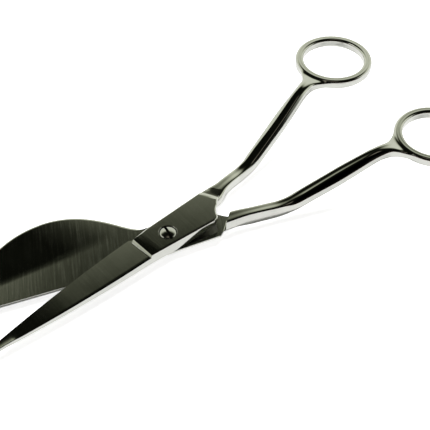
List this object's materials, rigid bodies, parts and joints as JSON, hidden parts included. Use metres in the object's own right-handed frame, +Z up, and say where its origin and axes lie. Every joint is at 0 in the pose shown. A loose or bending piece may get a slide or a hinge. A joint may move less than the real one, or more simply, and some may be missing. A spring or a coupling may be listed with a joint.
{
  "type": "applique scissors",
  "caption": "Duckbill applique scissors: pointed knife blade over a broad paddle blade, slotted pivot screw, offset shanks and round finger rings.",
  "frame": {"origin": "centre of the footprint, on the plane that the paddle half's belly lies on", "axes": "+X from the blades towards the finger rings, half way between the two open halves; +Z up, along the pivot screw towards its head"},
  "size_m": [0.1702, 0.076, 0.019],
  "materials": {
    "knife_steel": "satin-ground blade and tang, polished shank and ring",
    "paddle_steel": "cross-brushed paddle, polished shank and ring",
    "screw_steel": "polished dome with a sharp slot"
  },
  "bodies": {
    "paddle_side": {"paddle_blade_half": "paddle_steel", "pivot_screw": "screw_steel"},
    "knife_side": {"knife_blade_half": "knife_steel"}
  },
  "joints": [
    {"name": "blade_pivot", "type": "hinge", "parent": "paddle_side", "child": "knife_side", "pos_m": [-0.0167, 0, 0.00392], "axis": [0, 0, 1], "range_deg": [-14, 50]}
  ]
}
